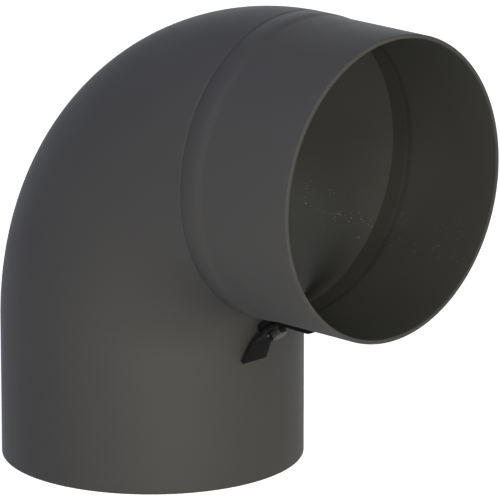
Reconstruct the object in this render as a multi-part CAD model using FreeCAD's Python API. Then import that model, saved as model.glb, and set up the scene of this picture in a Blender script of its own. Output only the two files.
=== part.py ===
"""Stove pipe elbow, 90 degrees, with a draught damper on a shaft through the bend.

The lower leg stands upright on the plane z = 0 with its axis on Z, and the smoke leaves along +X.
The origin is the centre of the lower leg's open end. All sizes are in millimetres.
"""
import FreeCAD, Part
import math
import os

Vector = FreeCAD.Vector

# Pipe
PIPE_OUTER_RADIUS = 75.0
PIPE_WALL = 2.0
THROAT_RADIUS = 18.5
LOWER_LEG_LENGTH = 69.3

# Spigot collar welded to the end of the bend
NECK_LENGTH = 8.5
TAPER_LENGTH = 6.0
SPIGOT_LENGTH = 53.3
SPIGOT_TURNED_IN = 0.6
SPIGOT_WALL = 2.2
MOUTH_CHAMFER = 0.4

# Damper shaft, along the line from the throat of the bend to its heel
SHAFT_ANGLE = 45.0
SHAFT_RADIUS = 5.0
SHAFT_RUNNING_CLEARANCE = 0.05
SHAFT_STUB = 1.5
TENON_WIDTH = 7.0
WELD_GAP = 0.02

# Bushes welded into the wall
THROAT_BUSH_RADIUS = 7.2
THROAT_BUSH_PROUD = 3.1
THROAT_BUSH_DEPTH = 4.0
HEEL_BUSH_RADIUS = 8.0
HEEL_BUSH_PROUD = 1.0
HEEL_BUSH_DEPTH = 5.0

# Damper blade
BLADE_RADIUS = 60.0
BLADE_THICKNESS = 1.5
BLADE_DRAUGHT_CHORD = 48.0
BLADE_SCREW_SPACING = 70.0

# Fasteners, M5
SCREW_RADIUS = 2.5
SCREW_HEAD_FLATS = 8.0
SCREW_HEAD_HEIGHT = 3.5
SCREW_CLEARANCE = 0.05
HEAD_FACE_SHARE = 0.95
HEAD_CHAMFER_ANGLE = 30.0
LEVER_BOLT_LENGTH = 12.0
BLADE_SCREW_LENGTH = 6.0

# Friction washer and lever stacked on the throat end of the shaft
TURNING_GAP = 0.3
FRICTION_WASHER_THICKNESS = 1.0
FRICTION_WASHER_RADIUS = 7.0

# Lever, bent from flat strip. Its near side faces -Y, and the grip lies upstream of the shaft
LEVER_THICKNESS = 1.5
LEVER_NEAR_WIDTH = 10.0
LEVER_FAR_WIDTH = 6.5
BEND_INNER_RADIUS = 1.0
GRIP_START = 6.5
GRIP_LENGTH = 11.4
GRIP_BEND = 31.0
GRIP_ROOT_NEAR_WIDTH = 10.8
GRIP_ROOT_FAR_WIDTH = 2.0
GRIP_TIP_NEAR_WIDTH = 16.6
GRIP_TIP_FAR_WIDTH = 0.2
GRIP_NEAR_CORNER = 1.0
GRIP_FAR_CORNER = 2.5
TAIL_START = 7.0
TAIL_LENGTH = 21.0
TAIL_BEND = 46.5
TAIL_HALF_WIDTH = 4.0
TAIL_CORNER = 2.0

# Sizes that follow from the ones above
PIPE_INNER_RADIUS = PIPE_OUTER_RADIUS - PIPE_WALL
BEND_RADIUS = PIPE_OUTER_RADIUS + THROAT_RADIUS
COLLAR_AXIS_HEIGHT = LOWER_LEG_LENGTH + BEND_RADIUS
SPIGOT_OUTER_RADIUS = PIPE_OUTER_RADIUS - SPIGOT_TURNED_IN
SPIGOT_INNER_RADIUS = SPIGOT_OUTER_RADIUS - SPIGOT_WALL
NECK_END = BEND_RADIUS + NECK_LENGTH
TAPER_END = NECK_END + TAPER_LENGTH
MOUTH_X = TAPER_END + SPIGOT_LENGTH

# Directions at the shaft: out through the throat, along the flow, and across the bend
ANGLE = math.radians(SHAFT_ANGLE)
OUTWARD = Vector(math.cos(ANGLE), 0, -math.sin(ANGLE))
DOWNSTREAM = Vector(math.sin(ANGLE), 0, math.cos(ANGLE))
ACROSS = Vector(0, 1, 0)
BEND_CENTRE = Vector(BEND_RADIUS, 0, LOWER_LEG_LENGTH)
THROAT = BEND_CENTRE - OUTWARD * THROAT_RADIUS
HEEL_DEPTH = 2 * PIPE_OUTER_RADIUS

# Places along the shaft, measured outward from the throat's outer surface
FRICTION_WASHER_START = THROAT_BUSH_PROUD + TURNING_GAP
LEVER_START = FRICTION_WASHER_START + FRICTION_WASHER_THICKNESS
BOLT_HEAD_START = LEVER_START + LEVER_THICKNESS


def on_shaft(outward, downstream=0.0, across=0.0):
    """A point placed from the throat along the shaft, along the flow and across the bend."""
    return THROAT + OUTWARD * outward + DOWNSTREAM * downstream + ACROSS * across


def shaft_cylinder(radius, start, end):
    """A cylinder on the shaft's axis between two places along it."""
    return Part.makeCylinder(radius, end - start, on_shaft(start), OUTWARD)


def ring_face(outer_radius, inner_radius, centre, axis):
    """A flat ring, the pipe's cross section."""
    discs = []
    for radius in (outer_radius, inner_radius):
        circle = Part.Circle(centre, axis, radius).toShape()
        discs.append(Part.Face(Part.Wire(circle)))
    return discs[0].cut(discs[1])


def hexagon_prism(across_flats, height, base, axis, side):
    """A hexagonal head whose outer end is chamfered round, as on a turned bolt head."""
    corner_radius = across_flats / math.sqrt(3)
    face_radius = across_flats / 2 * HEAD_FACE_SHARE
    other = axis.cross(side)
    corners = []
    for i in range(7):
        turn = math.radians(60 * i)
        along = side * (corner_radius * math.cos(turn))
        corners.append(base + along + other * (corner_radius * math.sin(turn)))
    prism = Part.Face(Part.makePolygon(corners)).extrude(axis * height)
    cone_length = height * 2
    cone_spread = cone_length / math.tan(math.radians(HEAD_CHAMFER_ANGLE))
    foot = base + axis * (height - cone_length)
    cone = Part.makeCone(face_radius + cone_spread, face_radius, cone_length, foot, axis)
    return prism.common(cone)


def rounded_outline(points, radii):
    """A closed flat outline through corner points, each corner replaced by an arc of its radius."""
    edges = []
    count = len(points)
    entries = []
    for i in range(count):
        corner = points[i]
        before = (points[i - 1] - corner).normalize()
        after = (points[(i + 1) % count] - corner).normalize()
        radius = radii[i]
        if radius <= 0:
            entries.append((corner, None, corner))
            continue
        half = before.getAngle(after) / 2
        setback = radius / math.tan(half)
        start = corner + before * setback
        end = corner + after * setback
        middle_direction = (before + after).normalize()
        middle = corner + middle_direction * (radius / math.sin(half) - radius)
        entries.append((start, middle, end))
    for i in range(count):
        start, middle, end = entries[i]
        if middle is not None:
            edges.append(Part.Arc(start, middle, end).toShape())
        following = entries[(i + 1) % count][0]
        if end.distanceToPoint(following) > 1e-6:
            edges.append(Part.LineSegment(end, following).toShape())
    return Part.Wire(edges)


def export(shape, name):
    """Writes one sub-part to its own file."""
    shape.exportStep(f"parts/{name}.step")
    print(f"{name}: {shape.Volume / 1000:.2f} cm3, valid {shape.isValid()}, solids {len(shape.Solids)}")


def make_elbow_shell():
    """The lower leg and the smooth bend in one piece, with the shaft's two holes."""
    up = Vector(0, 0, 1)
    leg = ring_face(PIPE_OUTER_RADIUS, PIPE_INNER_RADIUS, Vector(0, 0, 0), up).extrude(up * LOWER_LEG_LENGTH)
    section = ring_face(PIPE_OUTER_RADIUS, PIPE_INNER_RADIUS, Vector(0, 0, LOWER_LEG_LENGTH), up)
    bend = section.revolve(BEND_CENTRE, ACROSS, 90)
    shell = leg.fuse(bend).removeSplitter()
    throat_hole = shaft_cylinder(THROAT_BUSH_RADIUS + WELD_GAP, -PIPE_OUTER_RADIUS, PIPE_OUTER_RADIUS)
    beyond_heel = -HEEL_DEPTH - PIPE_OUTER_RADIUS
    heel_hole = shaft_cylinder(HEEL_BUSH_RADIUS + WELD_GAP, beyond_heel, -PIPE_OUTER_RADIUS)
    return shell.cut(throat_hole).cut(heel_hole)


def make_spigot_collar():
    """The turned-in collar: a short neck, a shallow taper and the spigot for the next pipe."""
    profile = [
        (BEND_RADIUS, PIPE_INNER_RADIUS),
        (BEND_RADIUS, PIPE_OUTER_RADIUS),
        (NECK_END, PIPE_OUTER_RADIUS),
        (TAPER_END, SPIGOT_OUTER_RADIUS),
        (MOUTH_X - MOUTH_CHAMFER, SPIGOT_OUTER_RADIUS),
        (MOUTH_X, SPIGOT_OUTER_RADIUS - MOUTH_CHAMFER),
        (MOUTH_X, SPIGOT_INNER_RADIUS),
        (TAPER_END, SPIGOT_INNER_RADIUS),
        (NECK_END, PIPE_INNER_RADIUS),
    ]
    points = [Vector(x, 0, COLLAR_AXIS_HEIGHT + radius) for x, radius in profile]
    points.append(points[0])
    face = Part.Face(Part.makePolygon(points))
    return face.revolve(Vector(0, 0, COLLAR_AXIS_HEIGHT), Vector(1, 0, 0), 360)


def make_bush(radius, start, end):
    """A welded bush with the shaft's running bore through it."""
    bore = SHAFT_RADIUS + SHAFT_RUNNING_CLEARANCE
    return shaft_cylinder(radius, start, end).cut(shaft_cylinder(bore, start - 1, end + 1))


def blade_screw_places():
    """Where the blade's two screws stand along the shaft."""
    middle = -PIPE_OUTER_RADIUS
    return [middle - BLADE_SCREW_SPACING / 2, middle + BLADE_SCREW_SPACING / 2]


def make_damper_shaft():
    """Round bar with a flat for the blade, a two-flat tenon for the lever and tapped holes."""
    middle = -PIPE_OUTER_RADIUS
    bar = shaft_cylinder(SHAFT_RADIUS, -HEEL_DEPTH - HEEL_BUSH_PROUD - SHAFT_STUB, BOLT_HEAD_START)
    flat_half = BLADE_RADIUS + BLADE_THICKNESS
    seat = Part.makeBox(2 * flat_half, 2 * SHAFT_RADIUS, SHAFT_RADIUS)
    seat.translate(Vector(-flat_half, -SHAFT_RADIUS, 0))
    seat.Placement = shaft_placement(middle).multiply(seat.Placement)
    bar = bar.cut(seat)
    for side in (TENON_WIDTH / 2, -TENON_WIDTH / 2 - SHAFT_RADIUS):
        cutter = Part.makeBox(LEVER_THICKNESS, 2 * SHAFT_RADIUS, SHAFT_RADIUS)
        cutter.translate(Vector(0, -SHAFT_RADIUS, side))
        cutter.Placement = shaft_placement(LEVER_START).multiply(cutter.Placement)
        bar = bar.cut(cutter)
    tapped = SCREW_RADIUS + SCREW_CLEARANCE
    bar = bar.cut(shaft_cylinder(tapped, BOLT_HEAD_START - LEVER_BOLT_LENGTH - 1, BOLT_HEAD_START))
    for place in blade_screw_places():
        hole = Part.makeCylinder(tapped, 4 * SHAFT_RADIUS, on_shaft(place, 0, -2 * SHAFT_RADIUS), ACROSS)
        bar = bar.cut(hole)
    return bar


def shaft_placement(start):
    """Turns a shape drawn with X out along the shaft, Y upstream and Z across the bend."""
    place = on_shaft(start)
    columns = (OUTWARD, DOWNSTREAM * -1, ACROSS, place)
    matrix = FreeCAD.Matrix()
    matrix.A11, matrix.A12, matrix.A13, matrix.A14 = [column.x for column in columns]
    matrix.A21, matrix.A22, matrix.A23, matrix.A24 = [column.y for column in columns]
    matrix.A31, matrix.A32, matrix.A33, matrix.A34 = [column.z for column in columns]
    return FreeCAD.Placement(matrix)


def make_damper_blade():
    """The round plate on the shaft's flat, with one edge cut off straight for the lasting draught."""
    middle = -PIPE_OUTER_RADIUS
    disc = Part.makeCylinder(BLADE_RADIUS, BLADE_THICKNESS, on_shaft(middle), ACROSS)
    reach = 2 * BLADE_RADIUS
    beyond = Part.makeBox(reach, reach, 4 * BLADE_THICKNESS)
    beyond.translate(Vector(-reach / 2, -BLADE_DRAUGHT_CHORD - reach, -BLADE_THICKNESS))
    beyond.Placement = shaft_placement(middle).multiply(beyond.Placement)
    disc = disc.cut(beyond)
    for place in blade_screw_places():
        base = on_shaft(place, 0, -BLADE_THICKNESS)
        disc = disc.cut(Part.makeCylinder(SCREW_RADIUS + SCREW_CLEARANCE, 4 * BLADE_THICKNESS, base, ACROSS))
    return disc


def make_blade_screw(place):
    """One hexagon screw through the blade into the shaft."""
    seat = on_shaft(place, 0, BLADE_THICKNESS)
    head = hexagon_prism(SCREW_HEAD_FLATS, SCREW_HEAD_HEIGHT, seat, ACROSS, OUTWARD)
    shank = Part.makeCylinder(SCREW_RADIUS, BLADE_SCREW_LENGTH, seat - ACROSS * BLADE_SCREW_LENGTH, ACROSS)
    return head.fuse(shank)


def make_washer(radius, bore, start, thickness):
    """A flat washer on the shaft's axis."""
    end = start + thickness
    return shaft_cylinder(radius, start, end).cut(shaft_cylinder(bore, start - 1, end + 1))


def make_control_lever():
    """Strip bent outward at both ends: a flared grip upstream and a narrow tail downstream."""
    thickness = LEVER_THICKNESS
    grip_slope = math.radians(GRIP_BEND)
    tail_slope = math.radians(TAIL_BEND)
    grip_end = GRIP_START + GRIP_LENGTH * math.cos(grip_slope)
    tail_end = -TAIL_START - TAIL_LENGTH * math.cos(tail_slope)
    grip_rise = GRIP_LENGTH * math.sin(grip_slope)
    tail_rise = TAIL_LENGTH * math.sin(tail_slope)
    grip_back = Vector(math.cos(grip_slope), -math.sin(grip_slope), 0) * thickness
    tail_back = Vector(math.cos(tail_slope), math.sin(tail_slope), 0) * thickness
    grip_tip = Vector(grip_rise, grip_end, 0)
    tail_tip = Vector(tail_rise, tail_end, 0)
    side_profile = [
        Vector(0, -TAIL_START, 0),
        Vector(0, GRIP_START, 0),
        grip_tip,
        grip_tip + grip_back,
        Vector(thickness, GRIP_START - thickness * math.tan(grip_slope / 2), 0),
        Vector(thickness, -TAIL_START + thickness * math.tan(tail_slope / 2), 0),
        tail_tip + tail_back,
        tail_tip,
    ]
    outer = BEND_INNER_RADIUS + thickness
    profile_rounds = [outer, outer, 0, 0, BEND_INNER_RADIUS, BEND_INNER_RADIUS, 0, 0]
    widest = GRIP_TIP_NEAR_WIDTH + LEVER_NEAR_WIDTH
    strip = Part.Face(rounded_outline(side_profile, profile_rounds))
    strip.translate(Vector(0, 0, -widest))
    strip = strip.extrude(Vector(0, 0, 2 * widest))
    plan = [
        (tail_end, -TAIL_HALF_WIDTH, TAIL_CORNER),
        (-TAIL_START, -TAIL_HALF_WIDTH, TAIL_CORNER),
        (-GRIP_START / 2, -LEVER_NEAR_WIDTH, GRIP_START / 2),
        (GRIP_START / 2, -LEVER_NEAR_WIDTH, GRIP_START),
        (GRIP_START, -GRIP_ROOT_NEAR_WIDTH, GRIP_START),
        (grip_end, -GRIP_TIP_NEAR_WIDTH, GRIP_NEAR_CORNER),
        (grip_end, GRIP_TIP_FAR_WIDTH, GRIP_FAR_CORNER),
        (GRIP_START, GRIP_ROOT_FAR_WIDTH, GRIP_START),
        (GRIP_START / 2, LEVER_FAR_WIDTH, GRIP_START / 2),
        (-GRIP_START / 2, LEVER_FAR_WIDTH, GRIP_START / 2),
        (-TAIL_START, TAIL_HALF_WIDTH, TAIL_CORNER),
        (tail_end, TAIL_HALF_WIDTH, TAIL_CORNER),
    ]
    corners = [Vector(-thickness, along, across) for along, across, _ in plan]
    outline = rounded_outline(corners, [rounding for _, _, rounding in plan])
    reach = max(grip_rise, tail_rise) + 4 * thickness
    lever = strip.common(Part.Face(outline).extrude(Vector(reach, 0, 0)))
    window_radius = SHAFT_RADIUS + SCREW_CLEARANCE
    window = Part.makeCylinder(window_radius, 3 * thickness, Vector(-thickness, 0, 0), Vector(1, 0, 0))
    flats = Part.makeBox(3 * thickness, 2 * window_radius, TENON_WIDTH + 2 * SCREW_CLEARANCE)
    flats.translate(Vector(-thickness, -window_radius, -TENON_WIDTH / 2 - SCREW_CLEARANCE))
    lever = lever.cut(window.common(flats))
    lever.Placement = shaft_placement(LEVER_START)
    return lever


def make_lever_bolt():
    """The hexagon bolt that clamps the lever to the end of the shaft."""
    seat = on_shaft(BOLT_HEAD_START)
    head = hexagon_prism(SCREW_HEAD_FLATS, SCREW_HEAD_HEIGHT, seat, OUTWARD, ACROSS)
    shank = shaft_cylinder(SCREW_RADIUS, BOLT_HEAD_START - LEVER_BOLT_LENGTH, BOLT_HEAD_START)
    return head.fuse(shank)


def main():
    """Builds every piece and writes its file."""
    os.makedirs("parts", exist_ok=True)
    export(make_elbow_shell(), "elbow_shell")
    export(make_spigot_collar(), "spigot_collar")
    export(make_bush(THROAT_BUSH_RADIUS, -PIPE_WALL - THROAT_BUSH_DEPTH, THROAT_BUSH_PROUD), "throat_bush")
    heel_outer = -HEEL_DEPTH - HEEL_BUSH_PROUD
    heel_inner = -HEEL_DEPTH + PIPE_WALL + HEEL_BUSH_DEPTH
    export(make_bush(HEEL_BUSH_RADIUS, heel_outer, heel_inner), "heel_bush")
    export(make_damper_shaft(), "damper_shaft")
    export(make_damper_blade(), "damper_blade")
    for name, place in zip(("heel_blade_screw", "throat_blade_screw"), blade_screw_places()):
        export(make_blade_screw(place), name)
    friction_bore = SHAFT_RADIUS + SCREW_CLEARANCE
    friction = make_washer(
        FRICTION_WASHER_RADIUS, friction_bore, FRICTION_WASHER_START, FRICTION_WASHER_THICKNESS
    )
    export(friction, "friction_washer")
    export(make_control_lever(), "control_lever")
    export(make_lever_bolt(), "lever_bolt")


main()
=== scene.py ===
"""Finished look of the stove pipe elbow with its draught damper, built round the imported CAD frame.

The elbow's lengths are named in millimetres and turned into metres where a mesh or a node takes them.
It stands on the plane z = 0 with its lower leg on Z, and the smoke leaves along +X.
"""
import logging
import math
from dataclasses import dataclass
from enum import Enum, IntEnum
from typing import ClassVar, Optional

import bmesh
import bpy
import numpy as np
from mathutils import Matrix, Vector


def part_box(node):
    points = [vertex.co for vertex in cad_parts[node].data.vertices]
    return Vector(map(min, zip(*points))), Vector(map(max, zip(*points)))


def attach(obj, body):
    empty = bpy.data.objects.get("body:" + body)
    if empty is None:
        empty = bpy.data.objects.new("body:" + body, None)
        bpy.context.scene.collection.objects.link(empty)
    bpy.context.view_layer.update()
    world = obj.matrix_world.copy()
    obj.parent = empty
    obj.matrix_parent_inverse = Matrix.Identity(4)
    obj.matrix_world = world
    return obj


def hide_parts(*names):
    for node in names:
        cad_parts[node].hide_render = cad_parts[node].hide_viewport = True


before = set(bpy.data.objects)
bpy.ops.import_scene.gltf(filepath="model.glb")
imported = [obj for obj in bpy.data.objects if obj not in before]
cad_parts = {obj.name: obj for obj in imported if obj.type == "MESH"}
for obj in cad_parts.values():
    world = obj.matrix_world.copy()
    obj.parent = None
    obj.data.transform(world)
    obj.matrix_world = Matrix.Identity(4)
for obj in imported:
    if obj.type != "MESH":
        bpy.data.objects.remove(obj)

logging.basicConfig(level=logging.INFO, format="%(message)s")
LOG = logging.getLogger("scene")

MM = 0.001

Grid = np.ndarray
Materials = dict[str, bpy.types.Material]


class Body(Enum):
    """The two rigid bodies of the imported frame."""

    ELBOW = "elbow"
    DAMPER = "damper"


class Slot(Enum):
    """The record's material slots."""

    FLUE_PAINT = "flue_paint"
    LEVER_BLACK = "lever_black"
    BARE_STEEL = "bare_steel"
    ZINC_STEEL = "zinc_steel"


class Face(IntEnum):
    """Which of a sheet-metal piece's finishes a face takes: outside, inside, seam or neck's inside."""

    OUTER = 0
    INNER = 1
    SEAM = 2
    NECK = 3


# Colour and node helpers

# The sRGB curve: a straight line up to the knee, and a power of the shifted value above it
SRGB_KNEE = 0.04045
SRGB_LINE = 12.92
SRGB_SHIFT = 0.055
SRGB_POWER = 2.4

# How a Mix node numbers its sockets for colours
MIX_SHARE = 0
MIX_FIRST = 6
MIX_SECOND = 7
MIX_RESULT = 2


def linear(hex_colour: str) -> tuple[float, float, float, float]:
    """Turns an sRGB hex colour into the linear colour that a shader takes.

    Args:
        hex_colour: Six hex digits, with or without a leading hash.

    Returns:
        Red, green, blue and an alpha of one.
    """
    channels = []
    for value in bytes.fromhex(hex_colour.lstrip("#")):
        share = value / 255
        if share <= SRGB_KNEE:
            channels.append(share / SRGB_LINE)
        else:
            channels.append(((share + SRGB_SHIFT) / (1 + SRGB_SHIFT)) ** SRGB_POWER)
    return (channels[0], channels[1], channels[2], 1.0)


def add_node(
    tree: bpy.types.NodeTree,
    kind: str,
    settings: Optional[dict] = None,
    links: Optional[dict] = None,
) -> bpy.types.Node:
    """Adds one node with its settings and its incoming links.

    Args:
        tree: The node tree that takes the node.
        kind: The node's Blender type name.
        settings: Values by key. The name of a property sets it, any other name or a number sets the
            input socket of that name or number.
        links: Output sockets by the name or the number of the input that each one feeds.

    Returns:
        The new node.
    """
    node = tree.nodes.new(kind)
    for key, value in (settings or {}).items():
        if isinstance(key, str) and hasattr(node, key):
            setattr(node, key, value)
        else:
            node.inputs[key].default_value = value
    for key, source in (links or {}).items():
        tree.links.new(source, node.inputs[key])
    return node


# Finishes

# A sprayed, lacquered or rolled surface has a grain of about a tenth of a millimetre. A pixel of the
# picture is about half a millimetre, so each grain is drawn 0.35 to 0.6 mm wide in order to show.


@dataclass(frozen=True)
class Dust:
    """Pale specks caught in the paint, in a level band inside the pipe.

    A real speck is a few tenths of a millimetre wide. These are 0.6 to 0.8 mm wide, which is more
    than a pixel of the picture, so that they show.

    Attributes:
        colour: The specks' colour, sRGB hex.
        reach: A speck's radius as a share of the spacing.
        spacing: The mean gap between places where a speck can sit, in millimetres.
        heights: Lowest, fullest and highest place of the dusty band, in millimetres.
    """

    colour: str
    reach: float
    spacing: float = 1.5
    heights: tuple[float, float, float] = (100.0, 120.0, 144.0)

    # The slow noise: its width in spacings, its detail, and where on it dust begins and is fullest
    PATCH_SPACINGS: ClassVar[int] = 5
    PATCH_DETAIL: ClassVar[float] = 2.0
    PATCH_SPAN: ClassVar[tuple[float, float]] = (0.35, 0.65)

    def share(self, tree: bpy.types.NodeTree, place: bpy.types.NodeSocket) -> bpy.types.NodeSocket:
        """Scatters the specks in their band, more of them in some patches than in others.

        A speck shows where the distance to the nearest of many scattered points is less than a
        reach. The reach grows from nought at the band's lowest place to its most at the fullest,
        falls back to nought at the highest, and is scaled by a slow noise.

        Args:
            tree: The node tree.
            place: The place's output socket.

        Returns:
            How much of the dust's colour shows, nought or one.
        """
        cells = add_node(
            tree, "ShaderNodeTexVoronoi", {"Scale": 1 / (self.spacing * MM)}, {"Vector": place}
        ).outputs["Distance"]
        patches = add_node(
            tree,
            "ShaderNodeTexNoise",
            {"Scale": 1 / (self.spacing * self.PATCH_SPACINGS * MM), "Detail": self.PATCH_DETAIL},
            {"Vector": place},
        ).outputs["Fac"]
        lowest, fullest, highest = (height * MM for height in self.heights)
        height = add_node(tree, "ShaderNodeSeparateXYZ", {}, {"Vector": place}).outputs["Z"]
        rising = add_node(
            tree,
            "ShaderNodeMapRange",
            {"From Min": lowest, "From Max": fullest, "To Min": 0.0, "To Max": self.reach},
            {"Value": height},
        ).outputs["Result"]
        most = add_node(
            tree,
            "ShaderNodeMapRange",
            {"From Min": fullest, "From Max": highest, "To Max": 0.0},
            {"Value": height, "To Min": rising},
        ).outputs["Result"]
        reach = add_node(
            tree,
            "ShaderNodeMapRange",
            {"From Min": self.PATCH_SPAN[0], "From Max": self.PATCH_SPAN[1], "To Min": 0.0},
            {"Value": patches, "To Max": most},
        ).outputs["Result"]
        return add_node(
            tree, "ShaderNodeMath", {"operation": "LESS_THAN"}, {0: cells, 1: reach}
        ).outputs["Value"]


@dataclass(frozen=True)
class Finish:
    """A painted or metal surface with a fine grain, a slow mottle and uneven sheen.

    Attributes:
        name: The material's name.
        slot: The record's material slot. Not used.
        colour: The colour where the mottle is strong, sRGB hex.
        shade: The colour where the mottle is weak, sRGB hex.
        roughness: The mean roughness.
        grain_size: The grain's width in millimetres.
        grain_depth: The grain's relief in millimetres.
        mottle_size: The mottle's width in millimetres.
        roughness_spread: How far the roughness swings either way.
        metallic: One for bare metal, nought for paint.
        shine: Specular level, a half for smooth paint and less for a porous matt one.
        dust: The dust in the paint, or none.
    """

    name: str
    slot: Slot
    colour: str
    shade: str
    roughness: float
    grain_size: float
    grain_depth: float
    mottle_size: float
    roughness_spread: float = 0.03
    metallic: float = 0.0
    shine: float = 0.5
    dust: Optional[Dust] = None

    # How finely each noise is broken up, and where on the mottle the sheen swings from end to end
    MOTTLE_DETAIL: ClassVar[float] = 3.0
    MOTTLE_ROUGHNESS: ClassVar[float] = 0.55
    MOTTLE_SPAN: ClassVar[tuple[float, float]] = (0.3, 0.7)
    GRAIN_DETAIL: ClassVar[float] = 4.0
    GRAIN_ROUGHNESS: ClassVar[float] = 0.6

    def build(self) -> bpy.types.Material:
        """Makes the material.

        The mottle is a slow noise that blends the two colours and swings the roughness about its
        mean. The grain is a fine noise that lifts the surface. The dust lies over both.

        Returns:
            The new material.
        """
        material = bpy.data.materials.new(self.name)
        material.use_nodes = True
        tree = material.node_tree
        tree.nodes.clear()
        place = add_node(tree, "ShaderNodeTexCoord").outputs["Object"]
        mottle, grain = (
            add_node(
                tree,
                "ShaderNodeTexNoise",
                {"Scale": 1 / (size * MM), "Detail": detail, "Roughness": roughness},
                {"Vector": place},
            ).outputs["Fac"]
            for size, detail, roughness in (
                (self.mottle_size, self.MOTTLE_DETAIL, self.MOTTLE_ROUGHNESS),
                (self.grain_size, self.GRAIN_DETAIL, self.GRAIN_ROUGHNESS),
            )
        )
        colour = add_node(
            tree,
            "ShaderNodeMix",
            {"data_type": "RGBA", MIX_FIRST: linear(self.shade), MIX_SECOND: linear(self.colour)},
            {MIX_SHARE: mottle},
        ).outputs[MIX_RESULT]
        if self.dust:
            colour = add_node(
                tree,
                "ShaderNodeMix",
                {"data_type": "RGBA", MIX_SECOND: linear(self.dust.colour)},
                {MIX_SHARE: self.dust.share(tree, place), MIX_FIRST: colour},
            ).outputs[MIX_RESULT]
        sheen = add_node(
            tree,
            "ShaderNodeMapRange",
            {
                "From Min": self.MOTTLE_SPAN[0],
                "From Max": self.MOTTLE_SPAN[1],
                "To Min": self.roughness - self.roughness_spread,
                "To Max": self.roughness + self.roughness_spread,
            },
            {"Value": mottle},
        ).outputs["Result"]
        relief = add_node(
            tree,
            "ShaderNodeBump",
            {"Strength": 1.0, "Distance": self.grain_depth * MM},
            {"Height": grain},
        ).outputs["Normal"]
        surface = add_node(
            tree,
            "ShaderNodeBsdfPrincipled",
            {"Metallic": self.metallic, "Specular IOR Level": self.shine},
            {"Base Color": colour, "Roughness": sheen, "Normal": relief},
        ).outputs["BSDF"]
        add_node(tree, "ShaderNodeOutputMaterial", {}, {"Surface": surface})
        return material


# Matt heat-resistant stove paint sprayed on rolled sheet: an even dark grey with a faint, wide sheen,
# and a slow change of tone where the sprayer's passes overlap.
STOVE_PAINT = Finish(
    "stove_paint", Slot.FLUE_PAINT, "#373737", "#343534",
    roughness=0.62, grain_size=0.35, grain_depth=0.006, mottle_size=30.0, shine=0.16,
)
# The same paint sprayed into the bend, where it lands drier and rougher, with pale dust caught in it.
DUSTY_STOVE_PAINT = Finish(
    "dusty_stove_paint", Slot.FLUE_PAINT, "#373837", "#343533",
    roughness=0.65, grain_size=0.6, grain_depth=0.012, mottle_size=18.0, shine=0.2,
    dust=Dust("#787872", reach=0.26),
)
# The same paint sprayed into the spigot, duller, and drawn darker as painted shade; its dust is greyer
# under the same painted shade.
SPIGOT_PAINTED_SHADE = Finish(
    "spigot_painted_shade", Slot.FLUE_PAINT, "#2D2E2D", "#2A2B29",
    roughness=0.74, grain_size=0.6, grain_depth=0.012, mottle_size=18.0, shine=0.14,
    dust=Dust("#51514D", reach=0.22),
)
# The same paint inside the neck, drawn darker still as painted shade, so that it shows as a band round the
# opening.
NECK_PAINTED_SHADE = Finish(
    "neck_painted_shade", Slot.FLUE_PAINT, "#292A28", "#262725",
    roughness=0.74, grain_size=0.6, grain_depth=0.012, mottle_size=18.0, shine=0.14,
)
# The same paint over the welded seam: black where a gap is left, grey where the paint fills it.
SEAM_PAINT = Finish(
    "seam_paint", Slot.FLUE_PAINT, "#161616", "#3C3C3C",
    roughness=0.85, grain_size=0.6, grain_depth=0.004, mottle_size=6.0, shine=0.05,
)
# Matt black lacquer dipped on the pressed steel of the lever, the washer and the throat's bush: much
# darker than the pipe, with almost no shine.
BLACK_LACQUER = Finish(
    "black_lacquer", Slot.LEVER_BLACK, "#0D0E0F", "#0A0B0C",
    roughness=0.75, grain_size=0.5, grain_depth=0.01, mottle_size=8.0,
    roughness_spread=0.05, shine=0.07,
)
# Steel left bare as it was rolled and gone dull, for the damper's shaft and blade: soft grey
# reflections.
ROLLED_STEEL = Finish(
    "rolled_steel", Slot.BARE_STEEL, "#6E6D6B", "#5F5E5C",
    roughness=0.42, grain_size=0.4, grain_depth=0.004, mottle_size=12.0,
    roughness_spread=0.08, metallic=1.0,
)
# Zinc plated on the steel screws and bolt and gone dull: a dark metal that catches the light on its
# flats.
ZINC_PLATE = Finish(
    "zinc_plate", Slot.ZINC_STEEL, "#363737", "#2E2F2F",
    roughness=0.52, grain_size=0.5, grain_depth=0.004, mottle_size=4.0,
    roughness_spread=0.06, metallic=1.0,
)

FINISHES = (
    STOVE_PAINT,
    DUSTY_STOVE_PAINT,
    SPIGOT_PAINTED_SHADE,
    NECK_PAINTED_SHADE,
    SEAM_PAINT,
    BLACK_LACQUER,
    ROLLED_STEEL,
    ZINC_PLATE,
)


# Object helpers

# Faces that meet at more than these angles keep a crisp edge, on sheet metal and on small pieces
SHEET_SHARP_DEG = 50.0
SMALL_SHARP_DEG = 40.0


def add_object(name: str, data: bpy.types.ID) -> bpy.types.Object:
    """Puts a new object into the scene.

    Args:
        name: The object's name.
        data: Its mesh, light or camera.

    Returns:
        The new object.
    """
    made = bpy.data.objects.new(name, data)
    bpy.context.scene.collection.objects.link(made)
    return made


def sharpen(made: bpy.types.Object, angle_deg: float) -> None:
    """Keeps an object's edges crisp where its faces meet at more than an angle.

    Args:
        made: The object.
        angle_deg: The angle in degrees.
    """
    made.data.set_sharp_from_angle(angle=math.radians(angle_deg))


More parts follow.
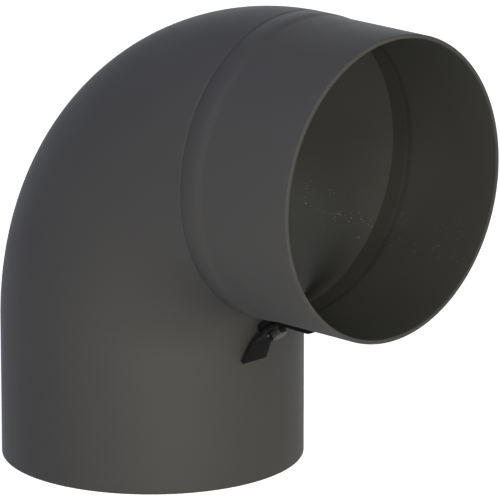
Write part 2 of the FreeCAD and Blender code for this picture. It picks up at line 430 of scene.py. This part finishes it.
def sheet_object(
    name: str, points: Grid, faces: Grid, dressed: Grid, materials: list[bpy.types.Material]
) -> bpy.types.Object:
    """Makes a smooth-shaded sheet-metal object at the origin.

    Args:
        name: The object's name.
        points: Corner places in millimetres, one row each.
        faces: Corner numbers, one row a face, wound so that the face looks outward.
        dressed: Each face's place among the materials.
        materials: The materials in the order of Face.

    Returns:
        The new object.
    """
    mesh = bpy.data.meshes.new(name)
    mesh.from_pydata((points * MM).tolist(), [], faces.tolist())
    mesh.validate()
    for material in materials:
        mesh.materials.append(material)
    made = add_object(name, mesh)
    mesh.shade_smooth()
    mesh.polygons.foreach_set("material_index", dressed.astype(np.int32))
    sharpen(made, SHEET_SHARP_DEG)
    return made


def place_piece(made: bpy.types.Object, body: Body, stands_for: tuple[str, ...]) -> None:
    """Gives a finished piece its body and the CAD nodes that it stands for.

    Args:
        made: The piece, with its place in its mesh.
        body: The rigid body that it rides on.
        stands_for: The CAD nodes that it replaces.
    """
    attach(made, body.value)
    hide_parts(*stands_for)


# The pipe's sizes


@dataclass(frozen=True)
class PipeSizes:
    """The elbow's main sizes in millimetres, measured on the frame where it shows them.

    Attributes:
        pipe_radius: Outer radius of the lower leg and the bend.
        bend_radius: Radius of the bend's centre line.
        leg_length: Height at which the bend starts.
        mouth_x: Where the spigot ends.
        wall: Sheet thickness of the leg and the bend.
        neck_length: Length of the collar's full-size neck.
        taper_length: Length over which the collar is turned in.
        turned_in: How much smaller the spigot's radius is.
        spigot_wall: Sheet thickness of the spigot.
        edge_radius: Round on the pipe's free edges.
        seam_width: Half the width of the groove between bend and collar.
        seam_depth: Depth of that groove.
    """

    pipe_radius: float
    bend_radius: float
    leg_length: float
    mouth_x: float
    wall: float = 2.0
    neck_length: float = 8.5
    taper_length: float = 6.0
    turned_in: float = 0.6
    spigot_wall: float = 2.2
    edge_radius: float = 0.45
    seam_width: float = 0.15
    seam_depth: float = 0.15

    @classmethod
    def from_frame(cls) -> "PipeSizes":
        """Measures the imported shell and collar.

        The shell reaches the bend's radius along X and the pipe's radius along Y, and its height is
        the leg's length and both radii together.

        Returns:
            The sizes.
        """
        shell_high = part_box("elbow_shell")[1] / MM
        collar_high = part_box("spigot_collar")[1] / MM
        leg_length = shell_high.z - shell_high.x - shell_high.y
        return cls(shell_high.y, shell_high.x, leg_length, collar_high.x)

    @property
    def axis_height(self) -> float:
        """Height of the spigot's axis."""
        return self.leg_length + self.bend_radius

    @property
    def bend_end(self) -> float:
        """Length of the centre line from the leg's open end to the end of the bend."""
        return self.leg_length + self.bend_radius * math.pi / 2

    @property
    def mid_bend(self) -> float:
        """Length of the centre line from the leg's open end to the middle of the bend."""
        return self.leg_length + self.bend_radius * math.pi / 4

    @property
    def shaft_direction(self) -> Grid:
        """Unit vector along the damper's shaft, out through the throat."""
        return np.array([math.sqrt(0.5), 0.0, -math.sqrt(0.5)])

    @property
    def throat(self) -> Grid:
        """Where the shaft's axis leaves the bend's outer surface at its throat."""
        centre = np.array([self.bend_radius, 0.0, self.leg_length])
        return centre - self.shaft_direction * (self.bend_radius - self.pipe_radius)


# The leg and bend


@dataclass(frozen=True)
class ElbowShell:
    """The lower leg and the bend in one piece, with the bushes' two holes.

    Attributes:
        sizes: The pipe's sizes.
        finishes: The finishes in the order of Face.
        around: Divisions round the pipe.
        along_leg: Divisions of the straight leg.
        along_bend: Divisions of the bend.
        edge_steps: Divisions of a rounded edge.
        throat_hole_radius: Radius of the hole for the throat's bush, in millimetres.
        heel_hole_radius: Radius of the hole for the heel's bush, in millimetres.
        snap_rounds: How often the holes' edges are drawn onto their circles.
    """

    sizes: PipeSizes
    finishes: tuple[Finish, ...] = (STOVE_PAINT, DUSTY_STOVE_PAINT, SEAM_PAINT)
    around: int = 192
    along_leg: int = 30
    along_bend: int = 130
    edge_steps: int = 4
    throat_hole_radius: float = 7.22
    heel_hole_radius: float = 8.02
    snap_rounds: int = 12

    def surface(self, run: Grid, turn: Grid, radius: Grid) -> Grid:
        """Places points on a tube that follows the pipe's centre line.

        A point is the centre line's place after that run, plus the radius times the cosine of the
        turn towards the bend's centre and its sine across the bend.

        Args:
            run: Length along the centre line in millimetres.
            turn: Turn round the pipe in radians, nought at the throat.
            radius: The tube's radius in millimetres.

        Returns:
            The points, one more axis than the arguments.
        """
        sizes = self.sizes
        swept = np.clip((run - sizes.leg_length) / sizes.bend_radius, 0.0, math.pi / 2)
        straight = np.minimum(run, sizes.leg_length)
        centre_x = sizes.bend_radius * (1 - np.cos(swept))
        centre_z = straight + sizes.bend_radius * np.sin(swept)
        inward = radius * np.cos(turn)
        return np.stack(
            [centre_x + inward * np.cos(swept), radius * np.sin(turn), centre_z - inward * np.sin(swept)],
            axis=-1,
        )

    def rows(self) -> tuple[Grid, Grid, Grid]:
        """Lays out the rows along the pipe.

        The edge at its foot is a quarter circle. Above it the rows are evenly spaced up the leg and
        round the bend, and the last row is the bottom of the seam's groove.

        Returns:
            For each row its run, how far the outer skin is drawn in, and how far the inner skin is
            let out.
        """
        sizes = self.sizes
        arc = np.linspace(0, math.pi / 2, self.edge_steps + 1)
        foot_run = sizes.edge_radius * (1 - np.sin(arc[::-1]))
        foot_inset = sizes.edge_radius * (1 - np.cos(arc[::-1]))
        leg = np.linspace(sizes.edge_radius, sizes.leg_length, self.along_leg + 1)[1:]
        end = sizes.bend_end
        bend = np.linspace(sizes.leg_length, end - sizes.seam_width, self.along_bend + 1)[1:]
        plain = np.zeros(len(leg) + len(bend))
        run = np.concatenate([foot_run, leg, bend, [end]])
        inset = np.concatenate([foot_inset, plain, [sizes.seam_depth]])
        outset = np.concatenate([foot_inset, plain, [0.0]])
        return run, inset, outset

    def off_shaft(self, points: Grid) -> Grid:
        """Measures how far points are from the shaft's axis.

        Args:
            points: Places in millimetres.

        Returns:
            The distances.
        """
        direction = self.sizes.shaft_direction
        offset = points - self.sizes.throat
        return np.linalg.norm(offset - (offset @ direction)[..., None] * direction, axis=-1)

    def nearer_hole(self, turns: Grid) -> tuple[Grid, Grid]:
        """Finds the hole on each point's side of the pipe.

        Args:
            turns: The points' turns round the pipe in radians.

        Returns:
            The turn of that hole's middle in radians and the hole's radius in millimetres.
        """
        at_heel = np.cos(turns) < 0
        hole_turn = np.where(at_heel, math.pi, np.where(turns > math.pi, 2 * math.pi, 0.0))
        hole_radius = np.where(at_heel, self.heel_hole_radius, self.throat_hole_radius)
        return hole_turn, hole_radius

    @staticmethod
    def cut_cells(in_hole: Grid) -> tuple[Grid, Grid]:
        """Leaves out the grid's cells that a hole touches.

        A cell goes where any of its four corners lies in a hole. A point is on the rim where some of
        the four cells round it go and some stay.

        Args:
            in_hole: Which points lie in a hole, rows by columns.

        Returns:
            Which cells go, rows less one by columns, and which points are on the rim.
        """
        corners = [(rows, shift) for rows in (slice(None, -1), slice(1, None)) for shift in (0, 1)]
        gone = np.zeros_like(in_hole[1:])
        for rows, shift in corners:
            gone |= np.roll(in_hole, -shift, axis=1)[rows]
        touched = np.zeros_like(in_hole)
        kept = np.zeros_like(in_hole)
        for rows, shift in corners:
            touched[rows] |= np.roll(gone, shift, axis=1)
            kept[rows] |= np.roll(~gone, shift, axis=1)
        return gone, touched & kept

    def skin(self, runs: Grid, turns: Grid, radii: Grid, rim: Grid) -> Grid:
        """Places one skin's points, with the rim points on the holes' circles.

        A rim point keeps its direction from the hole's middle. Its run and turn from there are
        stretched by the hole's radius over its distance from the shaft's axis, until that is one.

        Args:
            runs: The points' runs in millimetres.
            turns: The points' turns in radians.
            radii: The skin's radii in millimetres.
            rim: Which points are on a rim.

        Returns:
            The points in millimetres.
        """
        hole_run = self.sizes.mid_bend
        hole_turn, hole_radius = (values[rim] for values in self.nearer_hole(turns))
        run_off = runs[rim] - hole_run
        turn_off = turns[rim] - hole_turn
        stretch = np.ones(rim.sum())
        for _ in range(self.snap_rounds):
            snapped = self.surface(hole_run + run_off * stretch, hole_turn + turn_off * stretch, radii[rim])
            stretch *= hole_radius / self.off_shaft(snapped)
        snapped_runs = runs.copy()
        snapped_turns = turns.copy()
        snapped_runs[rim] = hole_run + run_off * stretch
        snapped_turns[rim] = hole_turn + turn_off * stretch
        return self.surface(snapped_runs, snapped_turns, radii)

    @staticmethod
    def thick_sheet(skins: list[Grid], gone: Grid) -> tuple[Grid, Grid, Grid]:
        """Joins an outer and an inner skin of the same layout into one closed wall.

        Each cell that stays gives an outer face and, wound the other way, an inner one. An edge that
        belongs to only one such cell gets a face across the wall's thickness.

        Args:
            skins: Outer and inner points, each rows by columns by three.
            gone: Which cells are left out, rows less one by columns.

        Returns:
            The points, the faces' corner numbers, and each face's place among the finishes.
        """
        rows, columns = skins[0].shape[:2]
        count = rows * columns
        number = np.arange(count).reshape(rows, columns)
        following = np.roll(number, -1, axis=1)
        cells = np.stack([number[:-1], following[:-1], following[1:], number[1:]], axis=-1)
        cells = cells[~gone]
        inner = cells[:, ::-1] + count
        edges = np.concatenate([cells[:, [i, (i + 1) % 4]] for i in range(4)])
        keys = edges[:, 0] * count + edges[:, 1]
        back_keys = edges[:, 1] * count + edges[:, 0]
        border = edges[~np.isin(keys, back_keys)]
        walls = np.stack(
            [border[:, 1], border[:, 0], border[:, 0] + count, border[:, 1] + count], axis=-1
        )
        points = np.concatenate([skin.reshape(-1, 3) for skin in skins])
        used, faces = np.unique(np.concatenate([cells, inner, walls]), return_inverse=True)
        faces = faces.reshape(-1, 4)
        dressed = np.full(len(faces), Face.OUTER)
        # The last row of outer cells is the seam's groove
        dressed[len(cells) - columns:len(cells)] = Face.SEAM
        dressed[len(cells):2 * len(cells)] = Face.INNER
        return points[used], faces, dressed

    def build(self, materials: Materials) -> bpy.types.Object:
        """Makes the shell and dresses it.

        Each skin is the tube's surface at its own radius, on a grid of rows along the pipe and turns
        round it, less the cells that a hole touches.

        Args:
            materials: The made materials by finish name.

        Returns:
            The new piece.
        """
        sizes = self.sizes
        run, inset, outset = self.rows()
        turn = np.linspace(0, 2 * math.pi, self.around, endpoint=False) + math.pi / self.around
        runs, turns = np.meshgrid(run, turn, indexing="ij")
        outer, inner = (
            np.broadcast_to(radii[:, None], runs.shape)
            for radii in (sizes.pipe_radius - inset, sizes.pipe_radius - sizes.wall + outset)
        )
        in_hole = self.off_shaft(self.surface(runs, turns, outer)) < self.nearer_hole(turns)[1]
        gone, rim = self.cut_cells(in_hole)
        skins = [self.skin(runs, turns, radii, rim) for radii in (outer, inner)]
        worn = [materials[finish.name] for finish in self.finishes]
        made = sheet_object("elbow_shell_skin", *self.thick_sheet(skins, gone), worn)
        place_piece(made, Body.ELBOW, ("elbow_shell",))
        return made


# The collar


@dataclass(frozen=True)
class SpigotCollar:
    """The collar: a full-size neck, a shallow taper and the spigot for the next pipe.

    Attributes:
        sizes: The pipe's sizes.
        finishes: The finishes in the order of Face.
        around: Divisions round the collar.
        taper_steps: Divisions of the taper.
        length_steps: Divisions of the spigot's straight part.
        edge_steps: Divisions of a rounded edge.
    """

    sizes: PipeSizes
    # The inside and the neck's inside are the stove paint drawn darker, as painted shade
    finishes: tuple[Finish, ...] = (STOVE_PAINT, SPIGOT_PAINTED_SHADE, SEAM_PAINT, NECK_PAINTED_SHADE)
    around: int = 256
    taper_steps: int = 12
    length_steps: int = 8
    edge_steps: int = 5

    def profile(self) -> Grid:
        """Draws the wall's section as a closed loop of axial place and radius.

        The loop starts at the bottom of the seam's groove, runs along the outer skin to the mouth
        and back along the inner skin, and ends on the face that meets the bend. The taper follows
        half a cosine wave, so that it leaves the neck and meets the spigot without a corner, and the
        mouth's two edges are quarter circles.

        Returns:
            One row of place and radius a point, in millimetres.
        """
        sizes = self.sizes
        start = sizes.bend_radius
        neck_end = start + sizes.neck_length
        taper_end = neck_end + sizes.taper_length
        spigot_outer = sizes.pipe_radius - sizes.turned_in
        spigot_inner = spigot_outer - sizes.spigot_wall
        pipe_inner = sizes.pipe_radius - sizes.wall
        wave = np.linspace(0, math.pi, self.taper_steps + 1)
        taper_x = neck_end + sizes.taper_length * wave / math.pi
        share = (1 - np.cos(wave)) / 2
        outer_taper = sizes.pipe_radius + (spigot_outer - sizes.pipe_radius) * share
        inner_taper = pipe_inner + (spigot_inner - pipe_inner) * share
        edge = sizes.edge_radius
        edge_start = sizes.mouth_x - edge
        arc = np.linspace(0, math.pi / 2, self.edge_steps + 1)
        straight = np.linspace(taper_end, edge_start, self.length_steps + 1)[1:-1]
        parts = [
            [[start, sizes.pipe_radius - sizes.seam_depth], [start + sizes.seam_width, sizes.pipe_radius]],
            np.stack([taper_x, outer_taper], axis=-1),
            np.stack([straight, np.full_like(straight, spigot_outer)], axis=-1),
            np.stack([edge_start + edge * np.sin(arc), spigot_outer - edge + edge * np.cos(arc)], axis=-1),
            np.stack([edge_start + edge * np.cos(arc), spigot_inner + edge - edge * np.sin(arc)], axis=-1),
            np.stack([straight[::-1], np.full_like(straight, spigot_inner)], axis=-1),
            np.stack([taper_x, inner_taper], axis=-1)[::-1],
            [[start, pipe_inner]],
        ]
        return np.concatenate([np.asarray(part) for part in parts])

    def ring_finishes(self, profile: Grid) -> Grid:
        """Picks the finish of each ring of faces, which runs from one profile point to the next.

        A ring is an inner one where its mean radius is less than the middle of the spigot's wall. The
        seam's groove is the first ring and the neck's inside the last but one. The last, which meets
        the bend, is hidden.

        Args:
            profile: The wall's section.

        Returns:
            Each ring's place among the finishes.
        """
        sizes = self.sizes
        radius = profile[:, 1]
        mid_spigot = sizes.pipe_radius - sizes.turned_in - sizes.spigot_wall / 2
        within = (radius + np.roll(radius, -1)) / 2 < mid_spigot
        dressed = np.where(within, Face.INNER, Face.OUTER)
        dressed[0] = Face.SEAM
        dressed[-2] = Face.NECK
        dressed[-1] = Face.OUTER
        return dressed

    def build(self, materials: Materials) -> bpy.types.Object:
        """Makes the collar and dresses it.

        Its section is turned round the spigot's axis: a point lies at its axial place, its radius
        times the turn's sine across, and its radius times the turn's cosine above the axis.

        Args:
            materials: The made materials by finish name.

        Returns:
            The new piece.
        """
        profile = self.profile()
        turn = np.linspace(0, 2 * math.pi, self.around, endpoint=False)
        count = len(profile)
        along = np.broadcast_to(profile[:, 0, None], (count, self.around))
        across = profile[:, 1, None] * np.sin(turn)
        up = self.sizes.axis_height + profile[:, 1, None] * np.cos(turn)
        points = np.stack([along, across, up], axis=-1).reshape(-1, 3)
        number = np.arange(count * self.around).reshape(count, self.around)
        ahead = np.roll(number, -1, axis=0)
        aside = np.roll(number, -1, axis=1)
        corner = np.roll(ahead, -1, axis=1)
        faces = np.stack([number, aside, corner, ahead], axis=-1).reshape(-1, 4)
        dressed = np.repeat(self.ring_finishes(profile), self.around)
        worn = [materials[finish.name] for finish in self.finishes]
        made = sheet_object("spigot_collar_skin", points, faces, dressed, worn)
        place_piece(made, Body.ELBOW, ("spigot_collar",))
        return made


# Small pieces


@dataclass(frozen=True)
class SoftCopy:
    """A CAD node's own shape with its edges broken.

    Attributes:
        node: The CAD node.
        body: The rigid body that it rides on.
        finish: The finish.
        bevel: Width of the broken edges in millimetres.
    """

    node: str
    body: Body
    finish: Finish
    bevel: float

    MERGE_MM: ClassVar[float] = 0.0002
    FLAT_DEG: ClassVar[float] = 0.5
    EDGE_DEG: ClassVar[float] = 25.0
    BEVEL_STEPS: ClassVar[int] = 3
    ROUND_PROFILE: ClassVar[float] = 0.5

    def break_edges(self, mesh: bpy.types.Mesh) -> None:
        """Closes up the mesh's loose triangles and rounds its sharp edges.

        Corners in the same place are merged, and faces that lie flat beside each other are joined.
        An edge where two faces meet at more than EDGE_DEG is then cut back by the bevel's width, in
        steps along a quarter circle.

        Args:
            mesh: A copy of the CAD node's mesh.
        """
        work = bmesh.new()
        work.from_mesh(mesh)
        bmesh.ops.remove_doubles(work, verts=work.verts, dist=self.MERGE_MM * MM)
        bmesh.ops.dissolve_limit(
            work, angle_limit=math.radians(self.FLAT_DEG), verts=work.verts, edges=work.edges
        )
        sharp = [
            edge for edge in work.edges
            if len(edge.link_faces) == 2 and edge.calc_face_angle() > math.radians(self.EDGE_DEG)
        ]
        bmesh.ops.bevel(
            work,
            geom=sharp,
            offset=self.bevel * MM,
            offset_type="OFFSET",
            segments=self.BEVEL_STEPS,
            profile=self.ROUND_PROFILE,
            affect="EDGES",
            clamp_overlap=True,
        )
        work.to_mesh(mesh)
        work.free()

    def build(self, materials: Materials) -> bpy.types.Object:
        """Makes the piece and dresses it.

        Args:
            materials: The made materials by finish name.

        Returns:
            The new piece.
        """
        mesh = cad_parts[self.node].data.copy()
        mesh.name = f"{self.node}_skin"
        if mesh.attributes.get("custom_normal"):
            mesh.attributes.remove(mesh.attributes["custom_normal"])
        self.break_edges(mesh)
        mesh.materials.clear()
        mesh.materials.append(materials[self.finish.name])
        made = add_object(f"{self.node}_skin", mesh)
        mesh.shade_smooth()
        sharpen(made, SMALL_SHARP_DEG)
        place_piece(made, self.body, (self.node,))
        return made


SOFT_COPIES = (
    SoftCopy("throat_bush", Body.ELBOW, BLACK_LACQUER, 0.3),
    SoftCopy("heel_bush", Body.ELBOW, STOVE_PAINT, 0.3),
    SoftCopy("damper_shaft", Body.DAMPER, ROLLED_STEEL, 0.15),
    SoftCopy("damper_blade", Body.DAMPER, ROLLED_STEEL, 0.25),
    SoftCopy("heel_blade_screw", Body.DAMPER, ZINC_PLATE, 0.15),
    SoftCopy("throat_blade_screw", Body.DAMPER, ZINC_PLATE, 0.15),
    SoftCopy("friction_washer", Body.DAMPER, BLACK_LACQUER, 0.15),
    SoftCopy("control_lever", Body.DAMPER, BLACK_LACQUER, 0.25),
    SoftCopy("lever_bolt", Body.DAMPER, ZINC_PLATE, 0.2),
)


# Camera and lights


def outward(azimuth_deg: float, elevation_deg: float) -> Vector:
    """Points from the object towards where a camera or a light stands.

    Its level part is the cosine of the elevation, turned by the azimuth from -Y towards +X, and its
    upright part is the sine of the elevation.

    Args:
        azimuth_deg: Turn round the object in degrees, nought on the side that looks along +Y.
        elevation_deg: Height above the horizon in degrees.

    Returns:
        A unit vector.
    """
    turn = math.radians(azimuth_deg)
    rise = math.radians(elevation_deg)
    return Vector((math.sin(turn) * math.cos(rise), -math.cos(turn) * math.cos(rise), math.sin(rise)))


def aim_object(made: bpy.types.Object, place: Vector, direction: Vector) -> None:
    """Puts a camera or a light in its place and turns it to face along a direction.

    Args:
        made: The camera or the light.
        place: Where it stands, in metres.
        direction: Which way it faces, of any length.
    """
    made.location = place
    made.rotation_mode = "QUATERNION"
    made.rotation_quaternion = direction.to_track_quat("-Z", "Y")


@dataclass(frozen=True)
class PhotoCamera:
    """The photograph's point of view.

    Attributes:
        azimuth: Turn round the object in degrees, nought looking along +Y.
        elevation: Height above the horizon in degrees.
        distance: Distance from the target in millimetres.
        target: What the camera looks at, in millimetres.
        focal_share: Focal length as a multiple of the picture's width.
        sensor: Sensor width in millimetres.
        nearest: The nearest distance that it sees, in metres.
        farthest: The farthest distance that it sees, in metres.
    """

    azimuth: float = 43.851
    elevation: float = 15.499
    distance: float = 2815.9
    target: tuple[float, float, float] = (66.92, 0.0, 115.259)
    focal_share: float = 11.631
    sensor: float = 36.0
    nearest: float = 0.1
    farthest: float = 100.0

    def build(self) -> bpy.types.Object:
        """Makes the camera and gives it to the scene.

        Returns:
            The camera object.
        """
        data = bpy.data.cameras.new("photo_camera")
        data.sensor_width = self.sensor
        data.lens = self.focal_share * self.sensor
        data.clip_start = self.nearest
        data.clip_end = self.farthest
        made = add_object("photo_camera", data)
        back = outward(self.azimuth, self.elevation)
        aim_object(made, (Vector(self.target) + back * self.distance) * MM, -back)
        bpy.context.scene.camera = made
        return made


def area_light(
    name: str, place: Vector, aim: Vector, size: float, power: float, colour: str
) -> bpy.types.Object:
    """Makes a square light that faces a point.

    Args:
        name: The light's name.
        place: Where it stands, in metres.
        aim: What it faces, in metres.
        size: Edge length in metres.
        power: Power in watts.
        colour: The light's colour, sRGB hex.

    Returns:
        The light object.
    """
    data = bpy.data.lights.new(name, "AREA")
    data.shape = "SQUARE"
    data.size = size
    data.energy = power
    data.color = linear(colour)[:3]
    made = add_object(name, data)
    aim_object(made, place, aim - place)
    return made


@dataclass(frozen=True)
class Softbox:
    """A large square light that faces the object's middle.

    Attributes:
        name: The light's name.
        azimuth: Turn round the object in degrees, nought on the side that looks along +Y.
        elevation: Height above the horizon in degrees.
        power: Power in watts.
        colour: The light's colour, sRGB hex.
        size: Edge length in metres.
        distance: Distance from the object's middle in metres.
    """

    name: str
    azimuth: float
    elevation: float
    power: float
    colour: str
    size: float = 1.0
    distance: float = 1.6

    def build(self, middle: Vector) -> bpy.types.Object:
        """Makes the light.

        Args:
            middle: The object's middle in metres.

        Returns:
            The light object.
        """
        place = middle + outward(self.azimuth, self.elevation) * self.distance
        return area_light(self.name, place, middle, self.size, self.power, self.colour)


@dataclass(frozen=True)
class LegFill:
    """A small hidden light low in the open leg, for the light that the pale floor sends up the bend.

    Attributes:
        place: Where it stands, in millimetres.
        aim: What it shines at, in millimetres.
        size: Edge length in metres.
        power: Power in watts.
        spread: Width of its beam in degrees.
        colour: The light's colour, sRGB hex.
    """

    place: tuple[float, float, float] = (20.0, -56.0, 25.0)
    aim: tuple[float, float, float] = (58.0, 55.0, 96.0)
    size: float = 0.02
    power: float = 0.037
    spread: float = 70.0
    colour: str = "#FFFFFF"

    def build(self) -> bpy.types.Object:
        """Makes the light.

        Returns:
            The light object.
        """
        place = Vector(self.place) * MM
        made = area_light("leg_fill", place, Vector(self.aim) * MM, self.size, self.power, self.colour)
        made.data.spread = math.radians(self.spread)
        made.visible_camera = False
        made.visible_glossy = False
        return made


# Warm boxes in front and towards the mouth, a cool one overhead and weak ones on the side and behind
SOFTBOXES = (
    Softbox("camera_softbox", 50.0, 26.0, power=9.0, colour="#FFF9EE"),
    Softbox("mouth_softbox", 78.0, 14.0, power=6.0, colour="#FFFBF4"),
    Softbox("low_softbox", 54.0, 12.0, power=23.0, colour="#FFF6E8", size=0.4),
    Softbox("side_softbox", 0.0, 10.0, power=1.0, colour="#FFFFFF"),
    Softbox("top_softbox", -30.0, 60.0, power=6.0, colour="#5C84FF"),
    Softbox("rear_softbox", 215.0, 15.0, power=3.0, colour="#F4F7FF"),
)


# Floor and background


def seen_strength(tree: bpy.types.NodeTree, strength: float) -> bpy.types.NodeSocket:
    """Makes a strength that counts only for what the camera sees, straight on, mirrored or through glass.

    It is the strength times the greatest of the three kinds of ray, each of which is nought or one.

    Args:
        tree: The node tree.
        strength: The strength for those rays.

    Returns:
        The strength's output socket, nought for every other ray.
    """
    path = add_node(tree, "ShaderNodeLightPath").outputs
    seen = path["Is Camera Ray"]
    for other in ("Is Glossy Ray", "Is Transmission Ray"):
        links = {0: seen, 1: path[other]}
        seen = add_node(tree, "ShaderNodeMath", {"operation": "MAXIMUM"}, links).outputs["Value"]
    settings = {"operation": "MULTIPLY", 1: strength}
    return add_node(tree, "ShaderNodeMath", settings, {0: seen}).outputs["Value"]


@dataclass(frozen=True)
class Backdrop:
    """A white background for the camera and a soft even light for everything else.

    Attributes:
        colour: Its colour, sRGB hex.
        seen: Its strength where the camera sees it, at which one is white.
        ambient: Its strength as a light.
    """

    colour: str = "#FFFFFF"
    seen: float = 1.0
    ambient: float = 0.11

    def build(self) -> bpy.types.World:
        """Makes the world and gives it to the scene.

        Returns:
            The world.
        """
        world = bpy.data.worlds.new("studio")
        world.use_nodes = True
        tree = world.node_tree
        tree.nodes.clear()
        total = add_node(
            tree,
            "ShaderNodeMath",
            {"operation": "ADD", 1: self.ambient},
            {0: seen_strength(tree, self.seen - self.ambient)},
        ).outputs["Value"]
        light = add_node(
            tree, "ShaderNodeBackground", {"Color": linear(self.colour)}, {"Strength": total}
        ).outputs["Background"]
        add_node(tree, "ShaderNodeOutputWorld", {}, {"Surface": light})
        bpy.context.scene.world = world
        return world


@dataclass(frozen=True)
class Floor:
    """The pale floor: a matt sheet that takes the object's shadow, with a glow that lights nothing.

    Attributes:
        colour: The sheet's colour, sRGB hex.
        glow_colour: The glow's colour, sRGB hex.
        glow: The glow's strength.
        half_width: Half its edge length in metres.
        drop: How far it lies below the elbow's cut end, in metres, so that the two faces don't meet.
    """

    colour: str = "#DCDCDC"
    glow_colour: str = "#FFFFFF"
    glow: float = 0.87
    half_width: float = 8.0
    drop: float = 0.0002

    def material(self) -> bpy.types.Material:
        """Makes the floor's material, a matt shader and a glow added together.

        Returns:
            The new material.
        """
        material = bpy.data.materials.new("pale_floor")
        material.use_nodes = True
        tree = material.node_tree
        tree.nodes.clear()
        matt = add_node(tree, "ShaderNodeBsdfDiffuse", {"Color": linear(self.colour)}).outputs["BSDF"]
        glow = add_node(
            tree,
            "ShaderNodeEmission",
            {"Color": linear(self.glow_colour)},
            {"Strength": seen_strength(tree, self.glow)},
        ).outputs["Emission"]
        both = add_node(tree, "ShaderNodeAddShader", {}, {0: matt, 1: glow}).outputs["Shader"]
        add_node(tree, "ShaderNodeOutputMaterial", {}, {"Surface": both})
        return material

    def build(self) -> bpy.types.Object:
        """Makes the floor.

        Returns:
            The floor object.
        """
        half = self.half_width
        corners = [(-half, -half), (half, -half), (half, half), (-half, half)]
        mesh = bpy.data.meshes.new("floor")
        mesh.from_pydata([(x, y, -self.drop) for x, y in corners], [], [(0, 1, 2, 3)])
        mesh.materials.append(self.material())
        floor = add_object("floor", mesh)
        return floor


def main() -> None:
    """Dresses the frame and sets up the studio."""
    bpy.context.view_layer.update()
    bpy.context.scene.view_settings.view_transform = "Standard"
    materials = {finish.name: finish.build() for finish in FINISHES}
    sizes = PipeSizes.from_frame()
    for part in (ElbowShell(sizes), SpigotCollar(sizes), *SOFT_COPIES):
        piece = part.build(materials)
        LOG.info("%s: %d faces", piece.name, len(piece.data.polygons))
    Floor().build()
    Backdrop().build()
    middle = Vector((0.0, 0.0, sizes.axis_height * MM / 2))
    for softbox in SOFTBOXES:
        softbox.build(middle)
    LegFill().build()
    PhotoCamera().build()


if __name__ == "__main__":
    main()
